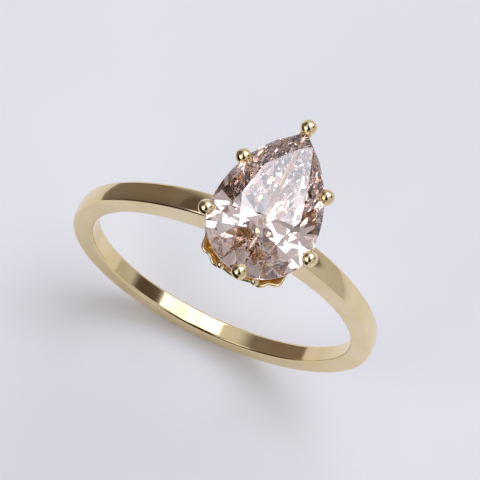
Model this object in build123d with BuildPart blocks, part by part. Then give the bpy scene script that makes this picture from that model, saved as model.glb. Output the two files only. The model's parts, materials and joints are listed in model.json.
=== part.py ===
from build123d import *
import os
from math import asin, atan2, cos, degrees, radians, sin, sqrt

os.makedirs("parts", exist_ok=True)

# Frame: the origin is the centre of the finger hole, the hole runs along Y, the stone is up (+Z),
# and the stone's point is towards +Y. All sizes are millimetres.

# Band
finger_bore_radius = 8.25  # US ring size 6
band_thickness = 1.33  # radial, away from the head
shoulder_rise = 1.12  # extra radial metal under the head
shoulder_power = 10  # how quickly the rise dies away down the shoulders
band_width_top = 1.45
band_width_bottom = 1.15
band_width_power = 3  # how quickly the band narrows below the shoulders
band_edge_radius = 0.08
band_outline_points = 36  # points that the outer edge's curve passes through
band_side_points = 9  # points down each side's curve

# Pear brilliant
stone_length = 9.4
stone_width = 6.4
table_length = 5.9
table_width = 3.7
table_shift = 0.32  # table centre towards the point, from the stone's centre
crown_height = 0.85
girdle_thickness = 0.18
pavilion_depth = 2.6
culet_shift = 0.4  # culet towards the point, from the centre of the round end
culet_flat = 0.03  # height taken off the pavilion's apex
star_reach = 0.42  # share of the crown's slope, from the table, that the star facets take
lower_half_reach = 0.78  # share of the pavilion's slope, from the girdle, of the lower halves
shoulder_facet_angle = 27  # direction of the two mains between belly and point

# Head base
head_sink = 0.55  # how deep the head's base is let into the band
base_height = 0.75  # base above the top of the band
base_bottom_radius = 0.85
base_top_radius = 1.25
head_centre_y = -0.15  # head axis from the band's middle
culet_clearance = 0.75  # open space between base and culet

# Prongs
prong_radius = 0.36
prong_ball_radius = 0.48
prong_ball_rise = 0.02  # ball centre above the girdle's top
prong_foot_radius = 0.85  # circle that the prong feet stand on
prong_foot_sink = 0.4  # prong feet start this far below the base's top
prong_bow = 0.28  # outward bow of a prong at its middle
shoulder_prong_angle = 24.5  # direction of the prongs between belly and point, up from +X
belly_prong_angle = -10  # direction of the prongs beside the round end
tip_prong_gap = 0.31  # ball centre outside the girdle
side_prong_gap = 0.1
heel_prong_gap = -0.06

# Gallery bars
lower_bar_width = 0.42
lower_bar_height = 0.45
lower_bar_rise = 0.15  # underside above the base
upper_bar_width = 0.45
upper_bar_height = 0.35
upper_bar_drop = 1.05  # top below the girdle, clear of the stone

# Petals
petal_wall = 0.26
petal_lip_gap = 0.05  # petal lips below the upper bars
petal_overhang = 0.0  # petal lips outside the girdle
petal_foot_shift = 0.14  # petal feet outside the lower bars' middle line
petal_end_trim = 8  # turn by which a petal's ends stop short of the prongs' centre lines
petal_middle_gap = 0.08  # half the space between left and right petals, inside the middle prongs
# Swell and climb of a petal, as shares of its radius and length. It runs past the lip, which is cut level.
petal_profile = [(0, 0), (0.6, 0.12), (0.94, 0.5), (1, 1), (0.92, 1.9)]
petal_bead_radius = 0.27
petal_bead_sink = 0.1
petal_bead_turn = 50  # turn of a bead from its petal's middle, towards the heel prong

# Derived heights
band_top = finger_bore_radius + band_thickness + shoulder_rise
band_bottom = -finger_bore_radius - band_thickness
base_bottom = band_top - head_sink
base_top = band_top + base_height
culet_height = base_top + culet_clearance
girdle_low = culet_height + pavilion_depth
girdle_high = girdle_low + girdle_thickness
table_height = girdle_high + crown_height
lower_bar_low = base_top + lower_bar_rise
upper_bar_low = girdle_low - upper_bar_drop - upper_bar_height
petal_lip_height = upper_bar_low - petal_lip_gap

# Direction on the outline, in degrees from +X, and gap of each prong, in order round the stone
prong_places = {
    "prong_tip": (90, tip_prong_gap),
    "prong_left_shoulder": (180 - shoulder_prong_angle, side_prong_gap),
    "prong_left_belly": (180 - belly_prong_angle, side_prong_gap),
    "prong_heel": (270, heel_prong_gap),
    "prong_right_belly": (360 + belly_prong_angle, side_prong_gap),
    "prong_right_shoulder": (360 + shoulder_prong_angle, side_prong_gap),
}

# Pear outline: a half circle round the heel and two wing arcs that meet at the point
round_radius = stone_width / 2
round_centre_y = round_radius - stone_length / 2
point_rise = stone_length - round_radius
wing_radius = (round_radius**2 + point_rise**2) / (2 * round_radius)
wing_centre_x = wing_radius - round_radius
wing_angle = degrees(atan2(point_rise, wing_centre_x))


def outline_point(angle, outset=0.0):
    """Point of the pear outline whose outward direction is the angle, in degrees from +X."""
    direction = Vector(cos(radians(angle)), sin(radians(angle)))
    if direction.Y <= 0:
        return Vector(0, round_centre_y) + direction * (round_radius + outset)
    side = 1 if direction.X >= 0 else -1
    if degrees(asin(direction.Y)) <= wing_angle:
        return Vector(-side * wing_centre_x, round_centre_y) + direction * (wing_radius + outset)
    return Vector(0, stone_length / 2) + direction * outset


def pear_outline(outset):
    """Pear sketch, the stone's outline moved outwards, with its point kept sharp."""
    reach = round_radius + outset
    wing = wing_radius + outset
    point_y = round_centre_y + sqrt(wing**2 - wing_centre_x**2)
    half = atan2(point_y - round_centre_y, wing_centre_x) / 2
    middle = Vector(wing * cos(half) - wing_centre_x, round_centre_y + wing * sin(half))
    with BuildSketch() as pear:
        with BuildLine():
            heel = (0, round_centre_y - reach)
            ThreePointArc((-reach, round_centre_y), heel, (reach, round_centre_y))
            ThreePointArc((reach, round_centre_y), middle, (0, point_y))
            ThreePointArc((0, point_y), (-middle.X, middle.Y), (-reach, round_centre_y))
        make_face()
    return pear.sketch


def lifted(flat_point, height):
    return Vector(flat_point.X, flat_point.Y, height)


def table_corner(angle):
    girdle_point = outline_point(angle)
    across = girdle_point.X * table_width / stone_width
    along = table_shift + girdle_point.Y * table_length / stone_length
    return Vector(across, along, table_height)


def facet_plane(corner_a, corner_b, corner_c):
    """Plane through three corners, facing away from the stone's middle."""
    normal = (corner_b - corner_a).cross(corner_c - corner_a).normalized()
    inside = Vector(0, round_centre_y, girdle_low)
    if normal.dot(corner_a - inside) < 0:
        normal = normal * -1
    return Plane(origin=corner_a, z_dir=normal)


def main_plane(angle, girdle_height, apex):
    """Main facet: it holds the girdle's tangent at the angle, and a second corner."""
    touch = lifted(outline_point(angle), girdle_height)
    tangent = Vector(-sin(radians(angle)), cos(radians(angle)), 0)
    return facet_plane(touch, touch + tangent, apex)


def edge_point(plane_a, plane_b, height):
    """Point at a height on the edge that two facets share."""
    a, b = plane_a.z_dir, plane_b.z_dir
    offset_a = a.dot(plane_a.origin) - a.Z * height
    offset_b = b.dot(plane_b.origin) - b.Z * height
    spread = a.X * b.Y - a.Y * b.X
    across = (offset_a * b.Y - offset_b * a.Y) / spread
    along = (a.X * offset_b - b.X * offset_a) / spread
    return Vector(across, along, height)


main_angles = [-90, -45, 0, shoulder_facet_angle, 90, 180 - shoulder_facet_angle, 180, 225]
culet = Vector(0, round_centre_y + culet_shift, culet_height)


def crown_planes():
    """Table, eight mains, eight stars and sixteen upper halves."""
    planes = [Plane(origin=(0, 0, table_height), z_dir=(0, 0, 1))]
    mains = [main_plane(angle, girdle_high, table_corner(angle)) for angle in main_angles]
    planes += mains
    for index, angle in enumerate(main_angles):
        following = (index + 1) % len(main_angles)
        next_angle = main_angles[following] + (360 if following == 0 else 0)
        star_height = table_height - star_reach * crown_height
        shared = edge_point(mains[index], mains[following], star_height)
        planes.append(facet_plane(table_corner(angle), table_corner(next_angle), shared))
        middle = lifted(outline_point(girdle_middle(angle, next_angle)), girdle_high)
        for end_angle in (angle, next_angle):
            planes.append(facet_plane(lifted(outline_point(end_angle), girdle_high), middle, shared))
    return planes


def pavilion_planes():
    """Eight mains that meet at the culet, sixteen lower halves and the small culet facet."""
    mains = [main_plane(angle, girdle_low, culet) for angle in main_angles]
    planes = list(mains)
    for index, angle in enumerate(main_angles):
        following = (index + 1) % len(main_angles)
        next_angle = main_angles[following] + (360 if following == 0 else 0)
        shared_height = girdle_low - lower_half_reach * pavilion_depth
        shared = edge_point(mains[index], mains[following], shared_height)
        middle = lifted(outline_point(girdle_middle(angle, next_angle)), girdle_low)
        for end_angle in (angle, next_angle):
            planes.append(facet_plane(lifted(outline_point(end_angle), girdle_low), middle, shared))
    planes.append(Plane(origin=culet + Vector(0, 0, culet_flat), z_dir=(0, 0, -1)))
    return planes


def girdle_middle(angle, next_angle):
    """Direction halfway between two mains along the outline, which has a corner at the point."""
    if angle < 90 and next_angle >= 90:
        next_angle = wing_angle
    elif angle >= 90 and angle < 180 - wing_angle:
        angle = 180 - wing_angle
    return (angle + next_angle) / 2


with BuildPart() as center_stone:
    with BuildSketch(Plane.XY.offset(culet_height)):
        add(pear_outline(0))
    extrude(amount=table_height + crown_height - culet_height)
    for facet in crown_planes() + pavilion_planes():
        split(bisect_by=facet, keep=Keep.BOTTOM)
center_stone.part.label = "center_stone"
export_step(center_stone.part, "parts/center_stone.step")


def band_radius(angle):
    """Outer radius of the band at an angle from +X, in the plane across the finger."""
    closeness = (1 + sin(radians(angle))) / 2
    return finger_bore_radius + band_thickness + shoulder_rise * closeness**shoulder_power


def band_half_width(height):
    """Half the band's width along the finger at a height, widest at its top."""
    closeness = (height - band_bottom) / (band_top - band_bottom)
    spread = band_width_top - band_width_bottom
    return (band_width_bottom + spread * closeness**band_width_power) / 2


def around_band(index):
    angle = 360 * index / band_outline_points
    radius = band_radius(angle)
    return (radius * cos(radians(angle)), radius * sin(radians(angle)))


side_step = (band_top - band_bottom) / (band_side_points - 1)
side_heights = [band_bottom + side_step * index for index in range(band_side_points)]

with BuildPart() as shank:
    with BuildSketch(Plane.XZ):
        with BuildLine():
            Spline([around_band(index) for index in range(band_outline_points)], periodic=True)
        make_face()
        Circle(finger_bore_radius, mode=Mode.SUBTRACT)
    extrude(amount=band_width_top, both=True)
    with BuildSketch(Plane.YZ):
        with BuildLine():
            front = Spline([(-band_half_width(height), height) for height in side_heights])
            back = Spline([(band_half_width(height), height) for height in side_heights])
            Line(front @ 0, back @ 0)
            Line(front @ 1, back @ 1)
        make_face()
    extrude(amount=2 * band_top, both=True, mode=Mode.INTERSECT)
    fillet(shank.edges(), band_edge_radius)
shank.part.label = "shank"
export_step(shank.part, "parts/shank.step")

with BuildPart() as head_base:
    with BuildSketch(Plane.XY.offset(base_bottom)):
        with Locations((0, head_centre_y)):
            Circle(base_bottom_radius)
    with BuildSketch(Plane.XY.offset(base_top)):
        with Locations((0, head_centre_y)):
            Circle(base_top_radius)
    loft()
    add(shank.part, mode=Mode.SUBTRACT)
head_base.part.label = "head_base"
export_step(head_base.part, "parts/head_base.step")


def prong_top(angle, gap):
    return lifted(outline_point(angle, gap), girdle_high + prong_ball_rise)


def prong_path(angle, gap):
    """Centre line of a prong, from its foot in the base to the middle of its ball."""
    top = prong_top(angle, gap)
    outward = Vector(top.X, top.Y - head_centre_y, 0).normalized()
    foot = Vector(0, head_centre_y, base_top - prong_foot_sink) + outward * prong_foot_radius
    chord = top - foot
    bow_direction = outward * chord.Z - Vector(0, 0, 1) * chord.dot(outward)
    middle = (foot + top) / 2 + bow_direction.normalized() * prong_bow
    with BuildLine() as path:
        ThreePointArc(foot, middle, top)
    return path.edge()


prong_paths = {name: prong_path(*place) for name, place in prong_places.items()}
prongs = {}
for name, path in prong_paths.items():
    with BuildPart() as prong:
        with BuildSketch(path ^ 0):
            Circle(prong_radius)
        sideways = (path % 0).cross(path @ 1 - path @ 0)
        revolve(axis=Axis(path.arc_center, sideways), revolution_arc=degrees(path.length / path.radius))
        with Locations(path @ 1):
            Sphere(prong_ball_radius)
        add(head_base.part, mode=Mode.SUBTRACT)
        add(center_stone.part, mode=Mode.SUBTRACT)
    prong.part.label = name
    export_step(prong.part, f"parts/{name}.step")
    prongs[name] = prong.part


def path_point(path, height):
    """Point of a prong's centre line at a height."""
    return path.intersect(Plane.XY.offset(height)).vertices()[0].center()


def ring_sketch(height, outset):
    """Closed outline that passes outside each prong's centre line by the outset."""
    head_axis = Vector(0, head_centre_y, height)
    corners = [path_point(path, height) for path in prong_paths.values()]
    moved = [corner + (corner - head_axis).normalized() * outset for corner in corners]
    with BuildSketch() as outline:
        with BuildLine():
            Spline(moved, periodic=True)
        make_face()
    return outline.sketch


def bar_ring(height, thickness, width):
    """Left half of a flat ring that runs through the prongs."""
    level = height + thickness / 2
    to_ground = Location((0, 0, -level))
    with BuildPart() as ring:
        with BuildSketch(Plane.XY.offset(height)):
            add(ring_sketch(level, width / 2).moved(to_ground))
            add(ring_sketch(level, -width / 2).moved(to_ground), mode=Mode.SUBTRACT)
        extrude(amount=thickness)
        split(bisect_by=Plane.YZ, keep=Keep.BOTTOM)
    return ring.part


lower_ring = bar_ring(lower_bar_low, lower_bar_height, lower_bar_width)
with BuildPart() as lower_gallery_bars:
    add(lower_ring)
    for prong in prongs.values():
        add(prong, mode=Mode.SUBTRACT)
    mirror(about=Plane.YZ)
lower_gallery_bars.part.label = "lower_gallery_bars"
export_step(lower_gallery_bars.part, "parts/lower_gallery_bars.step")

upper_ring = bar_ring(upper_bar_low, upper_bar_height, upper_bar_width)
with BuildPart() as upper_gallery_bars:
    add(upper_ring)
    add(center_stone.part, mode=Mode.SUBTRACT)
    for prong in prongs.values():
        add(prong, mode=Mode.SUBTRACT)
    mirror(about=Plane.YZ)
upper_gallery_bars.part.label = "upper_gallery_bars"
export_step(upper_gallery_bars.part, "parts/upper_gallery_bars.step")


def petal_frame(path_a, path_b):
    """Leaning plane at a petal's foot, and the radius, length and half turn of its cup."""
    foot_level = lower_bar_low + lower_bar_height / 2
    foot = (path_point(path_a, foot_level) + path_point(path_b, foot_level)) / 2
    lip_a = path_point(path_a, petal_lip_height)
    lip_b = path_point(path_b, petal_lip_height)
    lip_middle = (lip_a + lip_b) / 2
    half_chord = (lip_b - lip_a).length / 2
    outward = Vector((lip_b - lip_a).Y, -(lip_b - lip_a).X, 0).normalized()
    facing = degrees(atan2(outward.Y, outward.X))
    reach = outline_point(facing, petal_overhang).dot(outward) - lip_middle.dot(outward)
    radius = (half_chord**2 + reach**2) / (2 * reach)
    lip_centre = lip_middle + outward * (reach - radius)
    foot = foot + outward * petal_foot_shift
    axis = lip_centre - foot
    half_turn = degrees(atan2(half_chord, radius - reach)) - petal_end_trim
    across = Vector(0, 0, 1).cross(outward)
    front = across.cross(axis).normalized()
    return Plane(origin=foot, x_dir=front, z_dir=axis), radius, axis.length, half_turn


def inside_wall(swell_radius, climb_height, swell):
    """Point of a petal's inner face: a wall inwards on the flank, a wall up at the foot."""
    return (max(swell_radius - petal_wall, 0), climb_height + petal_wall * (1 - swell))


def petal_cup(frame, radius, length, half_turn):
    """Thin cup that widens from its foot to its level lip, open towards the stone."""
    turn = radians(half_turn)
    start = frame.x_dir * cos(turn) - frame.y_dir * sin(turn)
    outer_points = [(radius * swell, length * climb) for swell, climb in petal_profile]
    inner_points = [inside_wall(radius * swell, length * climb, swell) for swell, climb in petal_profile]
    with BuildPart() as cup:
        with BuildSketch(Plane(origin=frame.origin, x_dir=start, z_dir=start.cross(frame.z_dir))):
            with BuildLine():
                outer = Spline(outer_points)
                inner = Spline(inner_points)
                Line(outer @ 0, inner @ 0)
                Line(outer @ 1, inner @ 1)
            make_face()
        revolve(axis=Axis(frame.origin, frame.z_dir), revolution_arc=2 * half_turn)
        split(bisect_by=Plane.XY.offset(petal_lip_height), keep=Keep.BOTTOM)
    return cup.part


petal_sides = {
    "tip": ("prong_tip", "prong_left_shoulder"),
    "side": ("prong_left_shoulder", "prong_left_belly"),
    "heel": ("prong_left_belly", "prong_heel"),
}
petals = {}
for place, (first, second) in petal_sides.items():
    cup = petal_cup(*petal_frame(prong_paths[first], prong_paths[second]))
    with BuildPart() as petal:
        add(cup)
        for neighbour in (prongs[first], prongs[second], head_base.part, center_stone.part):
            add(neighbour, mode=Mode.SUBTRACT)
        for neighbour in (lower_gallery_bars.part, upper_gallery_bars.part):
            add(neighbour, mode=Mode.SUBTRACT)
        split(bisect_by=Plane.YZ.offset(-petal_middle_gap), keep=Keep.BOTTOM)
    with BuildPart() as petal_twin:
        mirror(petal.part, about=Plane.YZ)
    for side, shape in (("left", petal.part), ("right", petal_twin.part)):
        shape.label = f"petal_{side}_{place}"
        export_step(shape, f"parts/{shape.label}.step")
        petals[shape.label] = shape


def bead_place():
    """Middle of the bead that sits on the left heel petal's lip, beside the heel prong."""
    frame, radius, length, _ = petal_frame(*[prong_paths[name] for name in petal_sides["heel"]])
    turn = radians(petal_bead_turn)
    spoke = frame.x_dir * cos(turn) + frame.y_dir * sin(turn)
    level = frame.origin + frame.z_dir * length + spoke * (radius - petal_wall / 2)
    climb = (petal_lip_height + petal_bead_radius - petal_bead_sink - level.Z) / frame.z_dir.Z
    return level + frame.z_dir * climb


with BuildPart() as petal_beads:
    with Locations(bead_place()):
        Sphere(petal_bead_radius)
    add(petals["petal_left_heel"], mode=Mode.SUBTRACT)
    mirror(about=Plane.YZ)
petal_beads.part.label = "petal_beads"
export_step(petal_beads.part, "parts/petal_beads.step")
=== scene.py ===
import json
import math
import bmesh
import bpy
from mathutils import Matrix, Vector


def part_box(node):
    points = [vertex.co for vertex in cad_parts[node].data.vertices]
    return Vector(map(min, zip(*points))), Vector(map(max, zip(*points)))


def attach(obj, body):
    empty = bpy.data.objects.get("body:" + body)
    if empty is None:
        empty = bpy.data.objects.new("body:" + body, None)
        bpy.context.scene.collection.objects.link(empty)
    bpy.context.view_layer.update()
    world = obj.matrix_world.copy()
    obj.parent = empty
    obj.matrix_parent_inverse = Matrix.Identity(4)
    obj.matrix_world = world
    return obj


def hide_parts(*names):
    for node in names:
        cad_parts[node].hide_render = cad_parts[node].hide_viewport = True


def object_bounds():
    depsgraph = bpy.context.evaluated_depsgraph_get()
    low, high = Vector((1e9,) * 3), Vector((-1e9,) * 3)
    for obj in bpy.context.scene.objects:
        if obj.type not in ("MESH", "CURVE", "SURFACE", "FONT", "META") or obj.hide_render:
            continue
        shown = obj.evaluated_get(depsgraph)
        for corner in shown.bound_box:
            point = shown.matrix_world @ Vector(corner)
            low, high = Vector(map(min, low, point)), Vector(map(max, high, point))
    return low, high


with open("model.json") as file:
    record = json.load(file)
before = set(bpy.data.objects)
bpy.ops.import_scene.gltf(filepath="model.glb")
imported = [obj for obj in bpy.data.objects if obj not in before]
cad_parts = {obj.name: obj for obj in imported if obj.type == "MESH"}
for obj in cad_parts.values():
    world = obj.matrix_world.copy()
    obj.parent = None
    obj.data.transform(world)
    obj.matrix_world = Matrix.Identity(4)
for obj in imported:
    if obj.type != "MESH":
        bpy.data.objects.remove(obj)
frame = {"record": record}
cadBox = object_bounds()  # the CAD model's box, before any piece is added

mm = 0.001  # the scene is in metres, the ring's sizes are in millimetres
upward = Vector((0, 0, 1))


def srgb(code):  # sRGB hex colour to linear
    parts = [int(code[i:i + 2], 16) / 255 for i in (1, 3, 5)]
    linear = [c / 12.92 if c <= 0.04045 else ((c + 0.055) / 1.055) ** 2.4 for c in parts]
    return (*linear, 1.0)


def addNode(tree, kind, settings=None, links=None):  # a whole number as a key is an input's place
    node = tree.nodes.new(kind)
    for key, value in (settings or {}).items():
        if isinstance(key, int) or key in node.inputs:
            node.inputs[key].default_value = value
        else:
            setattr(node, key, value)
    for key, source in (links or {}).items():
        tree.links.new(source, node.inputs[key])
    return node


def setRamp(ramp, stops):
    elements = ramp.color_ramp.elements
    while len(elements) < len(stops):
        elements.new(0.5)
    for element, (place, colour) in zip(elements, stops):
        element.position = place
        element.color = srgb(colour)


def newMaterial(name):
    material = bpy.data.materials.new(name)
    material.use_nodes = True
    material.node_tree.nodes.clear()
    return material, material.node_tree


# Joins rows of points to quads. The UV map runs over size, in millimetres along and across the rows.
def gridMesh(name, rows, closeRows=False, closeColumns=True, caps=False, size=(1.0, 1.0)):
    columns = len(rows[0])
    rowSpans = len(rows) if closeRows else len(rows) - 1
    columnSpans = columns if closeColumns else columns - 1
    along, across = size
    faces, uvs = [], []
    for r in range(rowSpans):
        for c in range(columnSpans):
            nextR, nextC = (r + 1) % len(rows), (c + 1) % columns
            faces.append((r * columns + c, r * columns + nextC, nextR * columns + nextC, nextR * columns + c))
            low, high = r / rowSpans * along, (r + 1) / rowSpans * along
            left, right = c / columnSpans * across, (c + 1) / columnSpans * across
            uvs += [(low, left), (low, right), (high, right), (high, left)]
    if caps:
        lastRow = (len(rows) - 1) * columns
        faces.append(tuple(reversed(range(columns))))
        faces.append(tuple(range(lastRow, lastRow + columns)))
        for end in (0.0, along):
            uvs += [(end, c / columns * across) for c in range(columns)]
    mesh = bpy.data.meshes.new(name)
    mesh.from_pydata([tuple(point) for row in rows for point in row], [], faces)
    for loop, uv in zip(mesh.uv_layers.new(name="UVMap").data, uvs):
        loop.uv = uv
    smoothShade(mesh)
    mesh.update()
    return mesh


def smoothShade(mesh):
    mesh.polygons.foreach_set("use_smooth", [True] * len(mesh.polygons))


def fixNormals(mesh):
    work = bmesh.new()
    work.from_mesh(mesh)
    bmesh.ops.remove_doubles(work, verts=work.verts, dist=1e-7)  # metres
    bmesh.ops.recalc_face_normals(work, faces=work.faces)
    work.to_mesh(mesh)
    work.free()
    mesh.update()


def joinInto(work, mesh):
    work.from_mesh(mesh)
    bpy.data.meshes.remove(mesh)


def addPiece(name, mesh, material, nodes):
    piece = bpy.data.objects.new(name, mesh)
    bpy.context.scene.collection.objects.link(piece)
    mesh.materials.clear()
    mesh.materials.append(material)
    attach(piece, "root")
    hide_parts(*nodes)


def pieceNameOf(node):  # prong_tip gives ProngTip
    return "".join(word.capitalize() for word in node.split("_"))


def turnsRound(count):
    return [2 * math.pi * k / count for k in range(count)]


def splinePoint(a, b, c, d, t):  # smooth curve from b to c, with a before it and d after it
    return 0.5 * (2 * b + (c - a) * t + (2 * a - 5 * b + 4 * c - d) * t**2 + (3 * b - a - 3 * c + d) * t**3)


def smoothLoop(points, steps):
    count = len(points)
    spans = [[points[(i + k) % count] for k in (-1, 0, 1, 2)] for i in range(count)]
    return [splinePoint(*span, k / steps) for span in spans for k in range(steps)]


def findWhere(rising, target, low, high):  # halves the stretch until the rising value meets the target
    for _ in range(40):
        middle = (low + high) / 2
        if rising(middle) < target:
            low = middle
        else:
            high = middle
    return middle


def tubeRows(path, radii, around, side=None):  # side sets where each ring starts, else it follows the path
    rows = []
    carried = side
    for i, point in enumerate(path):
        tangent = (path[min(i + 1, len(path) - 1)] - path[max(i - 1, 0)]).normalized()
        if carried is None:
            carried = tangent.orthogonal().normalized()
        carried = (carried - tangent * carried.dot(tangent)).normalized()
        other = tangent.cross(carried)
        rows.append([point + (carried * math.cos(a) + other * math.sin(a)) * radii[i]
                     for a in turnsRound(around)])
    return rows


# The ring stands on its band and is seen from above the round end of the stone.
camera = {
    "azimuth": -5.57,
    "elevation": 69.62,
    "roll": 31.76,
    "distance": 420.5,  # mm, from the middle of the finger hole
    "across": 0.89,  # mm, how far the eye moves sideways
    "up": 2.30,  # mm, how far it moves up
    "lens": 540.3,  # mm
    "sensor": 36,  # mm
}


def makeCamera():
    azimuth, elevation, roll = (math.radians(camera[key]) for key in ("azimuth", "elevation", "roll"))
    back = Vector((math.sin(azimuth) * math.cos(elevation), -math.cos(azimuth) * math.cos(elevation),
                   math.sin(elevation)))
    level = Vector((math.cos(azimuth), math.sin(azimuth), 0))
    rise = back.cross(level)
    right = level * math.cos(roll) + rise * math.sin(roll)
    up = rise * math.cos(roll) - level * math.sin(roll)
    data = bpy.data.cameras.new("Camera")
    data.sensor_width = camera["sensor"]
    data.lens = camera["lens"]
    data.clip_start = 0.01
    data.clip_end = 10
    eye = bpy.data.objects.new("Camera", data)
    place = (back * camera["distance"] + right * camera["across"] + up * camera["up"]) * mm
    eye.matrix_world = Matrix.Translation(place) @ Matrix((right, up, back)).transposed().to_4x4()
    bpy.context.scene.collection.objects.link(eye)
    bpy.context.scene.camera = eye


makeCamera()
print("camera placed")

# 14k yellow gold, cast and buffed to a high polish: pale straw that mirrors the room with crisp edges,
# a little softer where the buff has left its fine lines.
gold = {
    "light": "#F9E7BC",
    "deep": "#F1D9A2",
    "roughMin": 0.07,
    "roughMax": 0.15,
    "cloud": 2.5,  # mm, slow change in the polish
    "line": 0.06,  # mm between buffing lines, drawn coarser than real so that they show
    "lineStretch": 0.08,  # how much shorter a line is across than along
    "lineShare": 0.35,  # part of the roughness that comes from the lines
    "lineDepth": 0.00035,  # mm
    "lineStrength": 0.25,
}


def makeGold():
    material, tree = newMaterial("polished 14k yellow gold")
    place = addNode(tree, "ShaderNodeTexCoord")
    cloud = addNode(tree, "ShaderNodeTexNoise", {"Scale": 1 / (gold["cloud"] * mm), "Detail": 3.0},
                    {"Vector": place.outputs["Object"]})
    tint = addNode(tree, "ShaderNodeValToRGB", None, {"Fac": cloud.outputs["Fac"]})
    setRamp(tint, [(0.3, gold["deep"]), (0.7, gold["light"])])
    stretched = addNode(tree, "ShaderNodeMapping",
                        {"Scale": (gold["lineStretch"] / gold["line"], 1 / gold["line"], 1)},
                        {"Vector": place.outputs["UV"]})
    lines = addNode(tree, "ShaderNodeTexNoise", {"Scale": 1.0, "Detail": 2.0},
                    {"Vector": stretched.outputs["Vector"]})
    polish = addNode(tree, "ShaderNodeMix", {"Factor": gold["lineShare"]},
                     {"A": cloud.outputs["Fac"], "B": lines.outputs["Fac"]})
    rough = addNode(tree, "ShaderNodeMapRange",
                    {"From Min": 0.3, "From Max": 0.7,
                     "To Min": gold["roughMin"], "To Max": gold["roughMax"]},
                    {"Value": polish.outputs["Result"]})
    bump = addNode(tree, "ShaderNodeBump",
                   {"Strength": gold["lineStrength"], "Distance": gold["lineDepth"] * mm},
                   {"Height": lines.outputs["Fac"]})
    shader = addNode(tree, "ShaderNodeBsdfPrincipled", {"Metallic": 1.0},
                     {"Base Color": tint.outputs["Color"], "Roughness": rough.outputs["Result"],
                      "Normal": bump.outputs["Normal"]})
    addNode(tree, "ShaderNodeOutputMaterial", None, {"Surface": shader.outputs["BSDF"]})
    return material


# Champagne diamond, cut in flat facets and polished: near white on the surface, with hard bright flashes
# and a rose-brown tint that deepens with the light's way through it.
diamond = {
    "clear": "#FFFDFC",
    "warm": "#FDF4EF",
    "cloud": 1.8,  # mm
    "ior": 2.42,
    "depthColour": "#DDA07A",
    "density": 42.0,  # per metre
}


def makeDiamond():
    material, tree = newMaterial("faceted champagne diamond")
    place = addNode(tree, "ShaderNodeTexCoord")
    cloud = addNode(tree, "ShaderNodeTexNoise", {"Scale": 1 / (diamond["cloud"] * mm), "Detail": 2.0},
                    {"Vector": place.outputs["Object"]})
    tint = addNode(tree, "ShaderNodeValToRGB", None, {"Fac": cloud.outputs["Fac"]})
    setRamp(tint, [(0.35, diamond["warm"]), (0.65, diamond["clear"])])
    shader = addNode(tree, "ShaderNodeBsdfPrincipled",
                     {"Roughness": 0.0, "IOR": diamond["ior"], "Transmission Weight": 1.0},
                     {"Base Color": tint.outputs["Color"]})
    depth = addNode(tree, "ShaderNodeVolumeAbsorption",
                    {"Color": srgb(diamond["depthColour"]), "Density": diamond["density"]})
    addNode(tree, "ShaderNodeOutputMaterial", None,
            {"Surface": shader.outputs["BSDF"], "Volume": depth.outputs["Volume"]})
    return material


goldMaterial = makeGold()
diamondMaterial = makeDiamond()
print("materials made")

# Band: flat sides with a crisp edge, a barely domed outer face, shoulders that swell to the head.
shankLow, shankHigh = (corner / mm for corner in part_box("shank"))
band = {
    "bore": frame["record"]["mounts"][0]["dims"]["r_mm"],
    "swellPower": 10,  # how quickly the swelling dies away down the shoulders
    "widthTop": 1.45,
    "widthBottom": 1.15,
    "widthPower": 3,
    "edge": 0.16,  # edge rounding left by polishing
    "dome": 0.06,  # crown of the outer face
    "around": 720,
    "edgeSteps": 5,
    "faceSteps": 6,
    "nearEdge": 0.985,  # share of the face at which its last points stand, to keep it flat
    "sideSpots": [0, 0.02, 0.25, 0.5, 0.75, 0.98, 1],
    "uvWidth": 5.0,
}
band["thickness"] = -shankLow.z - band["bore"]
band["swell"] = shankHigh.z + shankLow.z


def bandCorner(radial, sideways, quarter):  # rounded edge of the section, between its two ends
    steps = band["edgeSteps"]
    turns = [math.pi / 2 * (quarter + k / steps) for k in range(1, steps)]
    return [(radial + band["edge"] * math.cos(a), sideways + band["edge"] * math.sin(a)) for a in turns]


def bandSection(thickness, width):  # points out from the bore and sideways, starting on the outer face
    edge, face = band["edge"], band["faceSteps"]
    half, side = width / 2, width / 2 - edge
    high = thickness - band["dome"] - edge
    across = [-1, -band["nearEdge"]] + [-1 + 2 * k / face for k in range(1, face)] + [band["nearEdge"], 1]
    points = [(thickness - band["dome"] * s * s, s * side) for s in across]
    points += bandCorner(high, side, 0)
    points += [(high + (edge - high) * s, half) for s in band["sideSpots"]]
    points += bandCorner(edge, side, 1)
    points += [(0.0, -s * side) for s in across]
    points += bandCorner(edge, -side, 2)
    points += [(edge + (high - edge) * s, -half) for s in band["sideSpots"]]
    points += bandCorner(high, -side, 3)
    return points


def makeBand():
    rows = []
    for a in turnsRound(band["around"]):
        thickness = band["thickness"] + band["swell"] * ((1 + math.sin(a)) / 2) ** band["swellPower"]
        height = (band["bore"] + thickness / 2) * math.sin(a)
        climb = min(1, max(0, (1 + height / band["bore"]) / 2))
        width = band["widthBottom"] + (band["widthTop"] - band["widthBottom"]) * climb ** band["widthPower"]
        row = []
        for radial, sideways in bandSection(thickness, width):
            radius = band["bore"] + radial
            row.append(Vector((radius * math.cos(a), sideways, radius * math.sin(a))) * mm)
        rows.append(row)
    mesh = gridMesh("Shank", rows, closeRows=True, size=(2 * math.pi * band["bore"], band["uvWidth"]))
    fixNormals(mesh)
    addPiece("Shank", mesh, goldMaterial, ["shank"])


makeBand()
print("band made")

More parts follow.
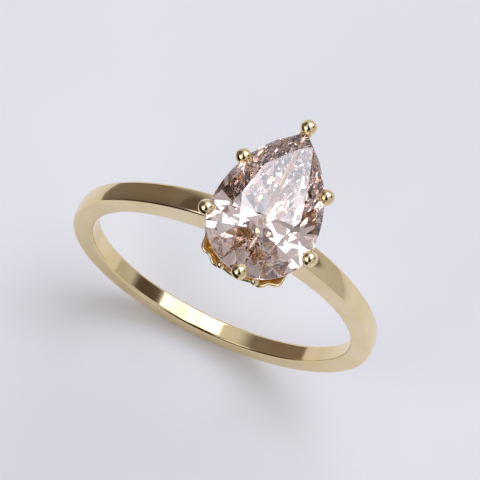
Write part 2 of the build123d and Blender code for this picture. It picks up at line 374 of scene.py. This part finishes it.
# Stone: the pear outline is a half circle and two wing arcs, and flat facets are cut all round it.
stoneLow, stoneHigh = (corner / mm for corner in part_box("center_stone"))
stone = {
    "length": stoneHigh.y - stoneLow.y,
    "width": stoneHigh.x - stoneLow.x,
    "tableTop": stoneHigh.z,
    "culetLow": stoneLow.z - 0.03,  # where the facets would meet, under the culet's flat
    "culetFlat": 0.03,
    "culetShift": 0.4,  # towards the point, from the middle of the round end
    "crown": 0.85,
    "girdle": 0.18,
    "tableLength": 5.9,
    "tableWidth": 3.7,
    "tableShift": 0.32,
    "starReach": 0.42,  # share of the crown's height that the star facets take
    "lowerReach": 0.78,  # share of the depth that the lower halves take
    "mains": [-90, -45, 0, 27, 90, 153, 180, 225],  # directions of the main facets
    "outlineSteps": 160,
    "spare": 0.5,  # height of the rough stone over the table
    "cutWithin": 1e-5,
    "mergeWithin": 1e-4,
}
stone["girdleHigh"] = stone["tableTop"] - stone["crown"]
stone["girdleLow"] = stone["girdleHigh"] - stone["girdle"]
roundRadius = stone["width"] / 2
roundY = roundRadius - stone["length"] / 2
pointRise = stone["length"] - roundRadius
wingRadius = (roundRadius**2 + pointRise**2) / (2 * roundRadius)
wingX = wingRadius - roundRadius
wingAngle = math.degrees(math.atan2(pointRise, wingX))


def direction(angle):
    return Vector((math.cos(math.radians(angle)), math.sin(math.radians(angle)), 0))


def outlinePoint(angle, outset=0.0, height=0.0):  # point on the girdle that faces this direction
    out = direction(angle)
    base = Vector((0, roundY, height))
    if out.y <= 0:
        return base + out * (roundRadius + outset)
    side = 1 if out.x >= 0 else -1
    if math.degrees(math.asin(out.y)) <= wingAngle:
        return base + Vector((-side * wingX, 0, 0)) + out * (wingRadius + outset)
    return Vector((0, stone["length"] / 2, height)) + out * outset


def facetPlane(a, b, c):  # plane through three points, facing out of the stone
    normal = (b - a).cross(c - a).normalized()
    inside = Vector((0, roundY, stone["girdleLow"]))
    return (a, normal if normal.dot(a - inside) > 0 else -normal)


def mainPlane(angle, height, apex):
    touch = outlinePoint(angle, 0, height)
    return facetPlane(touch, touch + direction(angle + 90), apex)


def sharedEdge(planeA, planeB, height):  # where two facets and a level meet
    (placeA, normalA), (placeB, normalB) = planeA, planeB
    offsetA = normalA.dot(placeA) - normalA.z * height
    offsetB = normalB.dot(placeB) - normalB.z * height
    spread = normalA.x * normalB.y - normalA.y * normalB.x
    return Vector(((offsetA * normalB.y - offsetB * normalA.y) / spread,
                   (normalA.x * offsetB - normalB.x * offsetA) / spread, height))


def tableCorner(angle):
    edge = outlinePoint(angle)
    return Vector((edge.x * stone["tableWidth"] / stone["width"],
                   stone["tableShift"] + edge.y * stone["tableLength"] / stone["length"],
                   stone["tableTop"]))


def girdleMiddle(angle, following):  # beside the point, only the wing's own directions count
    if angle < 90 <= following:
        following = wingAngle
    elif 90 <= angle < 180 - wingAngle:
        angle = 180 - wingAngle
    return (angle + following) / 2


def facetPlanes():
    mains = stone["mains"]
    culet = Vector((0, roundY + stone["culetShift"], stone["culetLow"]))
    starLevel = stone["tableTop"] - stone["starReach"] * stone["crown"]
    lowerLevel = stone["girdleLow"] - stone["lowerReach"] * (stone["girdleLow"] - stone["culetLow"])
    crownMains = [mainPlane(a, stone["girdleHigh"], tableCorner(a)) for a in mains]
    lowerMains = [mainPlane(a, stone["girdleLow"], culet) for a in mains]
    planes = [(Vector((0, 0, stone["tableTop"])), upward)] + crownMains + lowerMains
    for i, angle in enumerate(mains):
        j = (i + 1) % len(mains)
        following = mains[j] + (360 if j == 0 else 0)
        middle = girdleMiddle(angle, following)
        star = sharedEdge(crownMains[i], crownMains[j], starLevel)
        lower = sharedEdge(lowerMains[i], lowerMains[j], lowerLevel)
        planes.append(facetPlane(tableCorner(angle), tableCorner(following), star))
        for level, meet in ((stone["girdleHigh"], star), (stone["girdleLow"], lower)):
            for end in (angle, following):
                planes.append(facetPlane(outlinePoint(end, 0, level), outlinePoint(middle, 0, level), meet))
    planes.append((culet + upward * stone["culetFlat"], -upward))
    return planes


def outlineLoop():  # even turns on each arc, with the point of the pear kept sharp
    steps = stone["outlineSteps"]
    half = steps // 2
    angles = [-180 + 180 * k / steps for k in range(steps)]
    angles += [wingAngle * k / half for k in range(half + 1)]
    angles += [180 - wingAngle + wingAngle * k / half for k in range(1, half)]
    return [outlinePoint(a) for a in angles]


stonePlanes = facetPlanes()


def makeStone():
    work = bmesh.new()
    loop = outlineLoop()
    low = [work.verts.new((p.x, p.y, stone["culetLow"])) for p in loop]
    high = [work.verts.new((p.x, p.y, stone["tableTop"] + stone["spare"])) for p in loop]
    work.faces.new(list(reversed(low)))
    work.faces.new(high)
    for i in range(len(loop)):
        j = (i + 1) % len(loop)
        work.faces.new((low[i], low[j], high[j], high[i]))
    for point, normal in stonePlanes:
        cut = bmesh.ops.bisect_plane(work, geom=work.verts[:] + work.edges[:] + work.faces[:],
                                     dist=stone["cutWithin"], plane_co=point, plane_no=normal,
                                     clear_outer=True)
        rim = [e for e in cut["geom_cut"] if isinstance(e, bmesh.types.BMEdge)]
        if len(rim) > 2:
            bmesh.ops.edgenet_fill(work, edges=rim)
    bmesh.ops.remove_doubles(work, verts=work.verts, dist=stone["mergeWithin"])
    bmesh.ops.dissolve_degenerate(work, edges=work.edges, dist=stone["cutWithin"])
    bmesh.ops.recalc_face_normals(work, faces=work.faces)
    bmesh.ops.scale(work, vec=(mm, mm, mm), verts=work.verts)
    openEdges = [e for e in work.edges if len(e.link_faces) != 2]
    print("stone made,", len(work.faces), "faces,", len(openEdges), "open edges")
    mesh = bpy.data.meshes.new("CenterStone")
    work.to_mesh(mesh)
    work.free()
    addPiece("CenterStone", mesh, diamondMaterial, ["center_stone"])


makeStone()

# Prongs: bowed wires that lean out from the base and end in a round ball over the girdle.
baseLow, baseHigh = (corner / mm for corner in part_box("head_base"))
headY = (baseLow.y + baseHigh.y) / 2
prong = {
    "ball": 0.48,
    "ballRise": 0.02,  # ball centre above the girdle's top
    "footWire": 0.40,
    "neckWire": 0.33,
    "footRadius": 0.85,
    "footSink": 0.4,
    "bow": 0.28,
    "blend": 0.05,  # softness of the neck under the ball
    "neckFrom": 1.02,  # the wire ends this many ball radii short of the ball's centre
    "aimFrom": 0.98,  # the ball's axis points from this share of the curve to its top
    "tip": 1e-5,  # radius of the last ring, on top of the ball
    "around": 40,
    "wireSteps": 70,
    "neckSteps": 15,
    "ballSteps": 40,
    "uvRound": 2.4,
    "places": {  # direction on the outline, ball centre outside the girdle
        "prong_tip": (90, 0.31),
        "prong_left_shoulder": (180 - 24.5, 0.1),
        "prong_left_belly": (190, 0.1),
        "prong_heel": (270, -0.06),
        "prong_right_belly": (350, 0.1),
        "prong_right_shoulder": (24.5, 0.1),
    },
}
seat = {
    "gap": 0.01,  # what stands this near the stone moves off it
    "girdleTurn": 3,  # degrees between the upright planes that stand for the girdle
}
girdlePlanes = [(outlinePoint(a), direction(a)) for a in range(0, 360, seat["girdleTurn"])]
seatPlanes = stonePlanes + girdlePlanes


def prongCurve(name):
    angle, gap = prong["places"][name]
    top = outlinePoint(angle, gap, stone["girdleHigh"] + prong["ballRise"])
    outward = Vector((top.x, top.y - headY, 0)).normalized()
    foot = Vector((0, headY, baseHigh.z - prong["footSink"])) + outward * prong["footRadius"]
    chord = top - foot
    bowed = (outward * chord.z - upward * chord.dot(outward)).normalized()
    middle = (foot + top) / 2 + bowed * prong["bow"]
    control = middle * 2 - (foot + top) / 2
    return foot, control, top


def curvePoint(curve, t):
    foot, control, top = curve
    return foot * (1 - t) ** 2 + control * 2 * t * (1 - t) + top * t * t


def curveLength(curve, steps=50):
    spots = [curvePoint(curve, k / steps) for k in range(steps + 1)]
    return sum((after - before).length for before, after in zip(spots, spots[1:]))


def prongAt(name, height):
    curve = prongCurve(name)
    return curvePoint(curve, findWhere(lambda t: curvePoint(curve, t).z, height, 0.0, 1.0))


def pushOutOfStone(point):  # a point inside the stone moves to its nearest facet, which cuts a seat
    nearest = None
    for origin, normal in seatPlanes:
        depth = normal.dot(point - origin) - seat["gap"]
        if depth >= 0:
            return point
        if nearest is None or depth > nearest[0]:
            nearest = (depth, normal)
    return point - nearest[1] * nearest[0]


def makeProng(name):
    curve = prongCurve(name)
    top = curve[2]
    along = (top - curvePoint(curve, prong["aimFrom"])).normalized()
    length = curveLength(curve)
    ball, neck = prong["ball"], prong["neckWire"]
    path, radii = [], []
    for k in range(prong["wireSteps"]):
        share = k / prong["wireSteps"]
        if length * (1 - share) < ball * prong["neckFrom"]:
            break
        path.append(curvePoint(curve, share))
        radii.append(prong["footWire"] + (neck - prong["footWire"]) * share)
    wireEnd = path[-1]
    ballStart = top - along * math.sqrt(ball**2 - neck**2)
    for k in range(1, prong["neckSteps"]):
        share = k / prong["neckSteps"]
        path.append(wireEnd.lerp(ballStart, share))
        radii.append(neck + prong["blend"] * share**3)
    turnStart = math.asin(neck / ball)
    for k in range(1, prong["ballSteps"]):
        a = turnStart + (math.pi - turnStart) * k / prong["ballSteps"]
        path.append(top - along * ball * math.cos(a))
        radii.append(ball * math.sin(a))
    path.append(top + along * ball)
    radii.append(prong["tip"])
    rows = tubeRows(path, radii, prong["around"], along.cross(upward).normalized())
    rows = [[pushOutOfStone(p) * mm for p in row] for row in rows]
    mesh = gridMesh(pieceNameOf(name), rows, caps=True, size=(length, prong["uvRound"]))
    fixNormals(mesh)
    addPiece(pieceNameOf(name), mesh, goldMaterial, [name])


for name in prong["places"]:
    makeProng(name)
print("prongs made")

# Base of the head: a solid turned button with a slight waist and a rounded lip.
base = {
    "bottom": 0.85,
    "top": 1.25,
    "waist": 0.05,
    "lip": 0.09,
    "edgeWidth": 0.08,
    "edgeHeight": 0.06,
    "middle": 0.02,  # radius of the first and last ring
    "around": 96,
    "wallSteps": 12,
    "lipSteps": 8,
    "uvSize": (3.0, 6.0),
}


def makeBase():
    low, high, lip = baseLow.z, baseHigh.z, base["lip"]
    wallLow, wallHigh = low + base["edgeHeight"], high - lip
    profile = [(base["middle"], low), (base["bottom"] - base["edgeWidth"], low), (base["bottom"], wallLow)]
    for k in range(1, base["wallSteps"]):
        s = k / base["wallSteps"]
        radius = base["bottom"] + (base["top"] - base["bottom"]) * s - base["waist"] * math.sin(math.pi * s)
        profile.append((radius, wallLow + (wallHigh - wallLow) * s))
    for k in range(base["lipSteps"] + 1):
        a = math.pi / 2 * k / base["lipSteps"]
        profile.append((base["top"] - lip + lip * math.cos(a), high - lip + lip * math.sin(a)))
    profile.append((base["middle"], high))
    rows = []
    for radius, height in profile:
        rows.append([Vector((radius * math.cos(a), headY + radius * math.sin(a), height)) * mm
                     for a in turnsRound(base["around"])])
    mesh = gridMesh("HeadBase", rows, caps=True, size=base["uvSize"])
    fixNormals(mesh)
    addPiece("HeadBase", mesh, goldMaterial, ["head_base"])


# Gallery wires: one round wire through all the prongs at the middle height of its CAD bars.
wire = {
    "radius": {"lower_gallery_bars": 0.22, "upper_gallery_bars": 0.24},
    "spanSteps": 24,
    "around": 20,
    "uvSize": (14.0, 1.3),
}


def makeWire(node):
    low, high = (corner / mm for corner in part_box(node))
    path = smoothLoop([prongAt(name, (low.z + high.z) / 2) for name in prong["places"]], wire["spanSteps"])
    radius = wire["radius"][node]
    rows = []
    for i, point in enumerate(path):
        outward = (path[(i + 1) % len(path)] - path[i - 1]).normalized().cross(upward)
        ring = [point + (outward * math.cos(a) + upward * math.sin(a)) * radius
                for a in turnsRound(wire["around"])]
        rows.append([pushOutOfStone(p) * mm for p in ring])
    mesh = gridMesh(pieceNameOf(node), rows, closeRows=True, size=wire["uvSize"])
    fixNormals(mesh)
    addPiece(pieceNameOf(node), mesh, goldMaterial, [node])


makeBase()
for node in wire["radius"]:
    makeWire(node)
print("base and gallery wires made")

# Petals: thin cups between the prongs, with a rounded lip. Two of them carry a bead.
petal = {
    "wall": 0.2,
    "lipWire": 0.11,
    "lipGap": 0.05,  # lip under the upper gallery bars
    "footShift": 0.14,
    "tuck": 2,  # degrees that each side runs on into its prong
    "profile": [(0, 0), (0.6, 0.12), (0.94, 0.5), (1, 1), (0.92, 1.9)],  # shares of radius and length
    "climbFrom": 0.02,  # where on its profile a petal starts
    "lipFrom": 0.3,  # lowest place on it that the lip can have
    "arch": 0.12,  # how much higher the lip stands at its middle
    "reachLow": 2.95,  # lip from the middle of the round end, between lobes
    "lobes": [(46, 9, 0.42), (27, 8, 0.3)],  # degrees from the heel, spread, extra reach
    "turnSteps": 40,
    "climbSteps": 16,
    "lipAround": 16,
    "uvShell": (4.0, 4.0),
    "uvLip": (4.0, 0.8),
    "pairs": {
        "tip": ("prong_tip", "prong_left_shoulder"),
        "side": ("prong_left_shoulder", "prong_left_belly"),
        "heel": ("prong_left_belly", "prong_heel"),
    },
}


def petalShape(first, second):  # a leaning cup between two prongs
    barLow, barHigh = (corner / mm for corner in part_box("lower_gallery_bars"))
    footLevel = (barLow.z + barHigh.z) / 2
    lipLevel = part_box("upper_gallery_bars")[0].z / mm - petal["lipGap"]
    foot = (prongAt(first, footLevel) + prongAt(second, footLevel)) / 2
    lipA, lipB = prongAt(first, lipLevel), prongAt(second, lipLevel)
    middle = (lipA + lipB) / 2
    halfChord = (lipB - lipA).length / 2
    outward = Vector(((lipB - lipA).y, -(lipB - lipA).x, 0)).normalized()
    facing = math.degrees(math.atan2(outward.y, outward.x))
    reach = (outlinePoint(facing) - middle).dot(outward)
    radius = (halfChord**2 + reach**2) / (2 * reach)
    foot = foot + outward * petal["footShift"]
    axis = middle + outward * (reach - radius) - foot
    up = axis.normalized()
    front = upward.cross(outward).cross(axis).normalized()
    return {"foot": foot, "front": front, "side": up.cross(front), "up": up, "radius": radius,
            "length": axis.length, "lipLevel": lipLevel,
            "halfTurn": math.atan2(halfChord, radius - reach) + math.radians(petal["tuck"])}


def petalPoint(shape, turn, climb, inset=0.0):
    profile = [Vector((out, rise, 0)) for out, rise in petal["profile"]]
    profile = [profile[0] * 2 - profile[1]] + profile + [profile[-1] * 2 - profile[-2]]
    spans = len(profile) - 3
    place = min(climb * spans, spans - 1e-6)  # the very top still belongs to the last span
    i = int(place)
    spot = splinePoint(*profile[i:i + 4], place - i)
    rise = shape["up"] * (spot.y * shape["length"])
    spoke = shape["front"] * math.cos(turn) + shape["side"] * math.sin(turn)
    return shape["foot"] + rise + spoke * (spot.x * shape["radius"] - inset)


def lipClimb(shape, turn):  # how far up its profile a petal's lip is at a turn
    target = shape["lipLevel"] + petal["arch"] * math.cos(turn / shape["halfTurn"] * math.pi / 2)
    return findWhere(lambda t: petalPoint(shape, turn, t).z, target, petal["lipFrom"], 1.0)


def scallop(point):  # move that gives a heel petal a wide lobe and a small arch beside the bead
    spoke = Vector((point.x, point.y - roundY, 0))
    fromHeel = 90 - math.degrees(math.atan2(-spoke.y, abs(spoke.x)))
    reach = petal["reachLow"]
    for centre, spread, gain in petal["lobes"]:
        reach += gain * math.exp(-((fromHeel - centre) / spread) ** 2)
    return spoke.normalized() * (reach - spoke.length)


def makePetal(place, side, sign):
    shape = petalShape(*petal["pairs"][place])
    shares = [k / petal["climbSteps"] for k in range(petal["climbSteps"] + 1)]
    shell, lip = [], []
    for i in range(petal["turnSteps"] + 1):
        turn = -shape["halfTurn"] + 2 * shape["halfTurn"] * i / petal["turnSteps"]
        top = lipClimb(shape, turn)
        climbs = [petal["climbFrom"] + (top - petal["climbFrom"]) * s for s in shares]
        outside = [petalPoint(shape, turn, climb) for climb in climbs]
        inside = [petalPoint(shape, turn, climb, petal["wall"]) for climb in climbs]
        if place == "heel":
            move = scallop(outside[-1])
            outside = [p + move * s * s for p, s in zip(outside, shares)]
            inside = [p + move * s * s for p, s in zip(inside, shares)]
        shell.append(outside + list(reversed(inside)))
        lip.append((outside[-1] + inside[-1]) / 2)
    edge = tubeRows(lip, [petal["lipWire"]] * len(lip), petal["lipAround"])
    flip = Vector((sign, 1, 1))
    work = bmesh.new()
    for rows, size in ((shell, petal["uvShell"]), (edge, petal["uvLip"])):
        placed = [[pushOutOfStone(p) * flip * mm for p in row] for row in rows]
        joinInto(work, gridMesh("part", placed, caps=True, size=size))
    node = f"petal_{side}_{place}"
    mesh = bpy.data.meshes.new(pieceNameOf(node))
    work.to_mesh(mesh)
    work.free()
    fixNormals(mesh)
    smoothShade(mesh)
    addPiece(pieceNameOf(node), mesh, goldMaterial, [node])


# Beads: one on the lip of each heel petal, beside the heel prong.
bead = {
    "radius": 0.27,
    "turn": 50,  # degrees round the heel petal, towards the heel prong
    "sink": 0.1,
    "segments": 32,
    "rings": 20,
}


def makeBeads():
    shape = petalShape(*petal["pairs"]["heel"])
    turn = math.radians(bead["turn"])
    spot = petalPoint(shape, turn, lipClimb(shape, turn), petal["wall"] / 2)
    work = bmesh.new()
    for sign in (1, -1):
        place = Vector((spot.x * sign, spot.y, spot.z + bead["radius"] - bead["sink"])) * mm
        bmesh.ops.create_uvsphere(work, u_segments=bead["segments"], v_segments=bead["rings"],
                                  radius=bead["radius"] * mm, matrix=Matrix.Translation(place), calc_uvs=True)
    mesh = bpy.data.meshes.new("PetalBeads")
    work.to_mesh(mesh)
    work.free()
    smoothShade(mesh)
    addPiece("PetalBeads", mesh, goldMaterial, ["petal_beads"])


for place in petal["pairs"]:
    for side, sign in (("left", 1), ("right", -1)):
        makePetal(place, side, sign)
makeBeads()
print("petals and beads made")


def stageMesh(name, mesh, material):
    mesh.materials.append(material)
    thing = bpy.data.objects.new(name, mesh)
    bpy.context.scene.collection.objects.link(thing)
    return thing


# Floor: a honed pale stone slab, matt and barely clouded, that takes soft shadows.
floor = {
    "light": "#F0F0F3",
    "dark": "#EAEAEE",
    "cloud": 60.0,  # clouds to a metre
    "roughness": 0.6,
    "size": 0.6,  # metres
}


def makeFloor():
    material, tree = newMaterial("matt pale stone")
    place = addNode(tree, "ShaderNodeTexCoord")
    cloud = addNode(tree, "ShaderNodeTexNoise", {"Scale": floor["cloud"], "Detail": 4.0},
                    {"Vector": place.outputs["Object"]})
    tint = addNode(tree, "ShaderNodeValToRGB", None, {"Fac": cloud.outputs["Fac"]})
    setRamp(tint, [(0.3, floor["dark"]), (0.7, floor["light"])])
    shader = addNode(tree, "ShaderNodeBsdfPrincipled", {"Roughness": floor["roughness"]},
                     {"Base Color": tint.outputs["Color"]})
    addNode(tree, "ShaderNodeOutputMaterial", None, {"Surface": shader.outputs["BSDF"]})
    half, level = floor["size"] / 2, cadBox[0].z
    mesh = bpy.data.meshes.new("Floor")
    mesh.from_pydata([(-half, -half, level), (half, -half, level), (half, half, level), (-half, half, level)],
                     [], [(0, 1, 2, 3)])
    stageMesh("Floor", mesh, material)


# Card: matt brown card round the left and front, only for the polished gold to mirror.
card = {
    "side": "#96887E",
    "front": "#241A15",
    "radius": 0.029,  # metres
    "height": 0.031,
    "lean": 1.1,  # how much wider it is at the top
    "start": 148,  # degrees round from +X
    "end": 285,
    "steps": 40,
    "roughness": 0.9,
}


def makeCard():
    material, tree = newMaterial("matt brown card, darker to the front")
    place = addNode(tree, "ShaderNodeTexCoord")
    along = addNode(tree, "ShaderNodeSeparateXYZ", None, {"Vector": place.outputs["UV"]})
    tint = addNode(tree, "ShaderNodeValToRGB", None, {"Fac": along.outputs["X"]})
    setRamp(tint, [(0.12, card["side"]), (0.5, card["front"])])
    shader = addNode(tree, "ShaderNodeBsdfPrincipled", {"Roughness": card["roughness"]},
                     {"Base Color": tint.outputs["Color"]})
    addNode(tree, "ShaderNodeOutputMaterial", None, {"Surface": shader.outputs["BSDF"]})
    rows = []
    for k in range(card["steps"] + 1):
        foot = direction(card["start"] + (card["end"] - card["start"]) * k / card["steps"]) * card["radius"]
        top = foot * card["lean"]
        rows.append([foot + upward * cadBox[0].z, top + upward * (cadBox[0].z + card["height"])])
    thing = stageMesh("Card", gridMesh("Card", rows, closeColumns=False), material)
    thing.visible_camera = False  # seen in reflections only
    thing.visible_diffuse = False
    thing.visible_shadow = False


# Lights: a large soft window behind the stone's point and two smaller lights.
lights = {
    "distance": 450,  # mm
    "window": ("Window", 165, 55, (440, 230), 0.74, "#EAF0FF"),  # azimuth, elevation, size, power, colour
    "windowRoll": 20,  # degrees
    "windowEdge": (-0.1, -1.2),  # mm on the table where the mirrored top edge of the window falls
    "others": [
        ("Fill", -40, 31, (300, 270), 0.45, "#FFFCFA"),
        ("Overhead", 122, 80, (180, 160), 0.24, "#FBFBFF"),
    ],
}


def aimed(azimuth, elevation):  # unit vectors from the ring to a light, across it and up it
    az, el = math.radians(azimuth), math.radians(elevation)
    towards = Vector((math.sin(az) * math.cos(el), -math.cos(az) * math.cos(el), math.sin(el)))
    across = Vector((math.cos(az), math.sin(az), 0))
    return towards, across, towards.cross(across)


def addLight(name, place, axes, size, power, colour):
    towards, across, rise = axes
    data = bpy.data.lights.new(name, "AREA")
    data.shape = "RECTANGLE"
    data.size, data.size_y = size[0] * mm, size[1] * mm
    data.energy = power
    data.color = srgb(colour)[:3]
    lamp = bpy.data.objects.new(name, data)
    lamp.matrix_world = Matrix.Translation(place * mm) @ Matrix((across, rise, towards)).transposed().to_4x4()
    bpy.context.scene.collection.objects.link(lamp)


def makeWindow():
    name, azimuth, elevation, size, power, colour = lights["window"]
    towards, level, climb = aimed(azimuth, elevation)
    roll = math.radians(lights["windowRoll"])
    across = level * math.cos(roll) + climb * math.sin(roll)
    rise = climb * math.cos(roll) - level * math.sin(roll)
    spot = Vector((*lights["windowEdge"], stone["tableTop"]))
    fromEye = spot - bpy.context.scene.camera.location / mm
    mirrored = Vector((fromEye.x, fromEye.y, -fromEye.z)).normalized()
    reach = (lights["distance"] - spot.dot(towards)) / mirrored.dot(towards)
    topEdge = (spot + mirrored * reach).dot(rise)
    place = towards * lights["distance"] + rise * (topEdge - size[1] / 2)
    addLight(name, place, (towards, across, rise), size, power, colour)


def makeLights():
    makeWindow()
    for name, azimuth, elevation, size, power, colour in lights["others"]:
        axes = aimed(azimuth, elevation)
        addLight(name, axes[0] * lights["distance"], axes, size, power, colour)


# Room: pale walls that brighten upwards, with soft dark places for the gold and the stone to mirror.
room = {
    "strength": 0.72,
    "climb": [(0.0, "#D6D6DC"), (0.30, "#DCDCE2"), (0.9, "#F4F4FA")],
    "shades": [  # direction, degrees to its full and to its outer edge, colour
        ((0.745, 0.363, 0.559), 9, 18, "#5C4E47"),
        ((-0.9, 0.2, 0.4), 14, 34, "#6A5C56"),
        ((0.12, -0.70, 0.70), 16, 26, "#2A1712"),
        ((-0.25, -0.11, 0.96), 6, 13, "#6A544A"),
        ((-0.034, -0.347, 0.937), 8, 14, "#1A0D0A"),  # hood round the lens
    ],
}


def shadeMask(tree, view, towards, inner, outer):  # 1 within the inner angle, 0 outside the outer one
    along = addNode(tree, "ShaderNodeVectorMath",
                    {"operation": "DOT_PRODUCT", 1: Vector(towards).normalized()}, {0: view})
    return addNode(tree, "ShaderNodeMapRange",
                   {"interpolation_type": "SMOOTHSTEP", "From Min": math.cos(math.radians(outer)),
                    "From Max": math.cos(math.radians(inner)), "To Min": 0.0, "To Max": 1.0},
                   {"Value": along.outputs["Value"]}).outputs["Result"]


def makeRoom():
    world = bpy.data.worlds.new("Room")
    world.use_nodes = True
    tree = world.node_tree
    tree.nodes.clear()
    view = addNode(tree, "ShaderNodeTexCoord").outputs["Generated"]
    split = addNode(tree, "ShaderNodeSeparateXYZ", None, {"Vector": view})
    climb = addNode(tree, "ShaderNodeValToRGB", None, {"Fac": split.outputs["Z"]})
    setRamp(climb, room["climb"])
    colour = climb.outputs["Color"]
    for towards, inner, outer, code in room["shades"]:  # inputs 6 and 7 are the two colours to mix
        mask = shadeMask(tree, view, towards, inner, outer)
        colour = addNode(tree, "ShaderNodeMix", {"data_type": "RGBA", 7: srgb(code)},
                         {0: mask, 6: colour}).outputs[2]
    glow = addNode(tree, "ShaderNodeBackground", {"Strength": room["strength"]}, {"Color": colour})
    addNode(tree, "ShaderNodeOutputWorld", None, {"Surface": glow.outputs["Background"]})
    bpy.context.scene.world = world


makeFloor()
makeCard()
makeRoom()
makeLights()
bpy.context.scene.view_settings.view_transform = "Standard"
bpy.context.scene.cycles.max_bounces = 24  # light crosses many facets before it leaves the stone
bpy.context.scene.cycles.glossy_bounces = 16
bpy.context.scene.cycles.transmission_bounces = 20
print("studio made")
